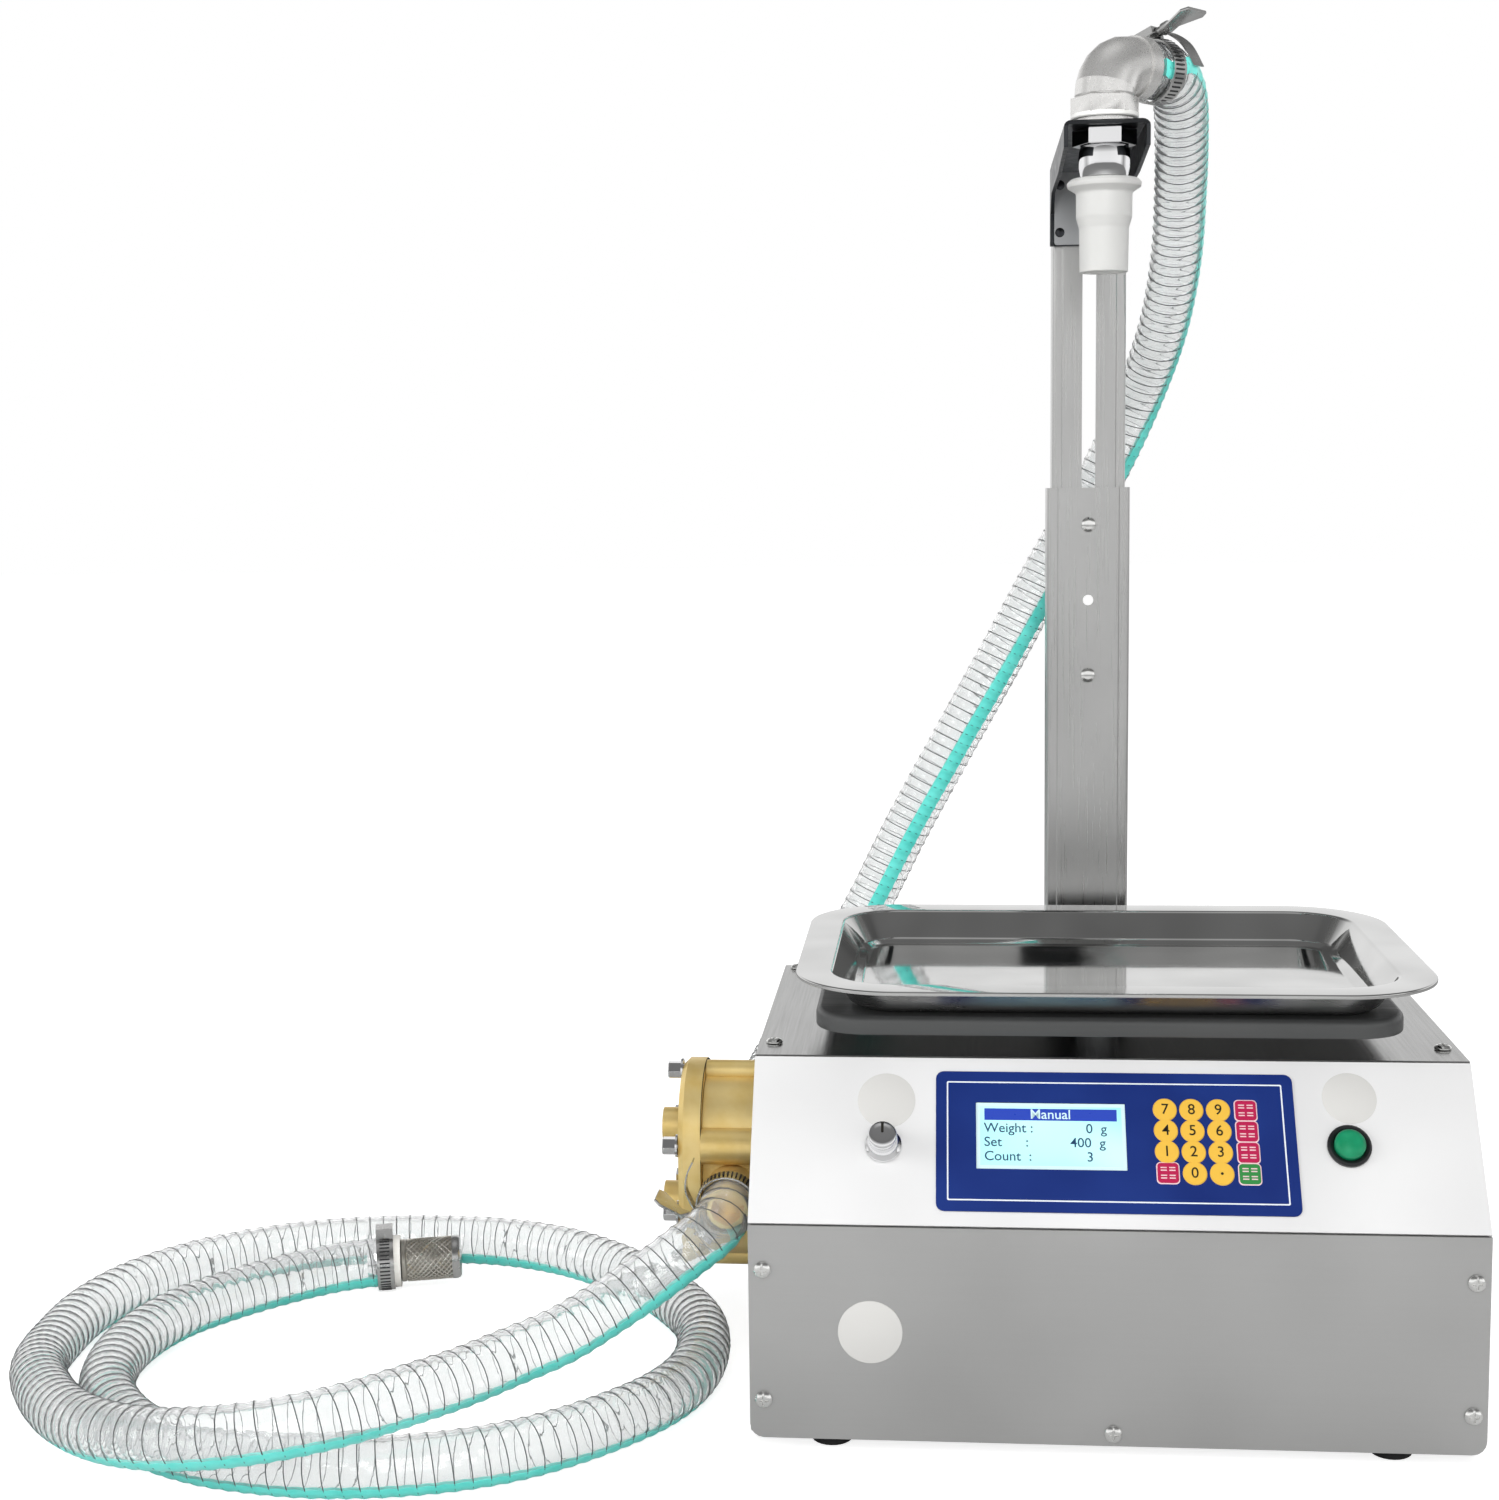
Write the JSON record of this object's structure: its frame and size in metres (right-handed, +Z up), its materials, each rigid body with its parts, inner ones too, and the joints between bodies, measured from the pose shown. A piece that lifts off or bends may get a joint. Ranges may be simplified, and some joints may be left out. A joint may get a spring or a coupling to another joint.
{
  "type": "weighing liquid filler",
  "caption": "Bench liquid filler: cabinet with side gear pump, suction hose, scale tray and a nozzle on a sliding column.",
  "frame": {"origin": "centre of the box round the machine without its hoses, on the surface it stands on", "axes": "+Z up, -Y towards the operator and the sloped control fascia, +X to the operator's right"},
  "size_m": [0.7689, 0.4524, 0.7247],
  "materials": {
    "stainless_sheet": "brushed",
    "fascia_sheet": "satin",
    "platform_steel": "satin",
    "tray_steel": "polished",
    "black_rubber": "matte",
    "pan_screw": "satin",
    "overlay_film": "satin",
    "circuit_board": "matte",
    "black_plastic": "satin",
    "green_plastic": "gloss",
    "zinc_case": "matte",
    "aluminium": "satin",
    "pump_brass": "satin",
    "gear_steel": "satin",
    "chrome": "polished",
    "black_paint": "satin",
    "column_steel": "brushed",
    "bracket_steel": "satin",
    "sleeve_plastic": "satin",
    "cast_steel": "satin",
    "strainer_steel": "knurled",
    "clear_hose": "gloss"
  },
  "bodies": {
    "base": {"base_pan": "stainless_sheet", "front_panel": "stainless_sheet", "sloped_fascia": "fascia_sheet", "top_plate": "stainless_sheet", "side_panel_left": "stainless_sheet", "side_panel_right": "stainless_sheet", "rear_panel": "stainless_sheet", "foot_1": "black_rubber", "foot_2": "black_rubber", "foot_3": "black_rubber", "foot_4": "black_rubber", "front_screw_1": "pan_screw", "front_screw_2": "pan_screw", "front_screw_3": "pan_screw", "front_screw_4": "pan_screw", "front_screw_5": "pan_screw", "top_screw_1": "pan_screw", "top_screw_2": "pan_screw", "top_screw_3": "pan_screw", "top_screw_4": "pan_screw", "keypad_overlay": "overlay_film", "controller_module": "circuit_board", "flow_potentiometer": "circuit_board", "start_button_body": "black_plastic", "power_supply": "zinc_case", "power_inlet": "black_plastic", "load_cell": "aluminium", "platform_post": "aluminium", "scale_platform": "platform_steel", "pump_body": "pump_brass", "pump_cover": "pump_brass", "pump_bolt_1": "chrome", "pump_bolt_2": "chrome", "pump_bolt_3": "chrome", "pump_bolt_4": "chrome", "inlet_barb": "chrome", "outlet_barb": "chrome", "pump_motor": "black_paint", "outer_column": "column_steel", "column_screw_1": "chrome", "column_screw_2": "chrome", "inlet_hose": "clear_hose", "outlet_hose": "clear_hose", "inlet_clamp_band": "chrome", "foot_strainer": "strainer_steel", "strainer_clamp": "chrome"},
    "riser": {"inner_column": "column_steel", "nozzle_bracket": "bracket_steel", "bulkhead_fitting": "chrome", "nozzle_sleeve": "sleeve_plastic", "elbow": "cast_steel", "outlet_clamp_band": "chrome"},
    "tray": {"tray": "tray_steel"},
    "flow_knob": {"flow_knob": "chrome"},
    "start_button": {"start_button_cap": "green_plastic"},
    "pump_driver": {"drive_gear": "gear_steel"},
    "pump_idler": {"idler_gear": "gear_steel"},
    "power_rocker": {"power_rocker": "black_plastic"},
    "inlet_wing": {"inlet_clamp_wing_screw": "chrome"},
    "outlet_wing": {"outlet_clamp_wing_screw": "chrome"}
  },
  "joints": [
    {"name": "column_height", "type": "slide", "parent": "base", "child": "riser", "axis": [0, 0, 1], "range_m": [-0.1, 0.04], "deforming": ["outlet_hose"]},
    {"name": "tray_lift", "type": "slide", "parent": "base", "child": "tray", "axis": [0, 0, 1], "range_m": [0, 0.05]},
    {"name": "flow_knob_turn", "type": "hinge", "parent": "base", "child": "flow_knob", "pos_m": [-0.0851, -0.12157, 0.15184], "axis": [0, -0.8, 0.6], "range_deg": [-135, 135]},
    {"name": "start_button_press", "type": "slide", "parent": "base", "child": "start_button", "axis": [0, 0.8, -0.6], "range_m": [0, 0.003], "stiffness_N_per_m": 600, "springref_m": -0.001},
    {"name": "pump_drive", "type": "hinge", "parent": "base", "child": "pump_driver", "pos_m": [-0.1517, -0.01695, 0.13], "axis": [1, 0, 0], "continuous": true},
    {"name": "pump_idle", "type": "hinge", "parent": "base", "child": "pump_idler", "pos_m": [-0.1517, -0.01695, 0.088], "axis": [1, 0, 0], "continuous": true},
    {"name": "power_switch", "type": "hinge", "parent": "base", "child": "power_rocker", "pos_m": [0.1403, 0.12355, 0.086], "axis": [1, 0, 0], "range_deg": [0, 14]},
    {"name": "inlet_wing_turn", "type": "hinge", "parent": "base", "child": "inlet_wing", "pos_m": [-0.17963, -0.06935, 0.08591], "axis": [-0.8, 0.0009, 0.6], "continuous": true},
    {"name": "outlet_wing_turn", "type": "hinge", "parent": "riser", "child": "outlet_wing", "pos_m": [0.05331, 0.02159, 0.71396], "axis": [0.6953, -0.6623, 0.2791], "continuous": true}
  ],
  "couplings": [
    {"joint": "pump_idle", "follows": "pump_drive", "ratio": -1}
  ]
}
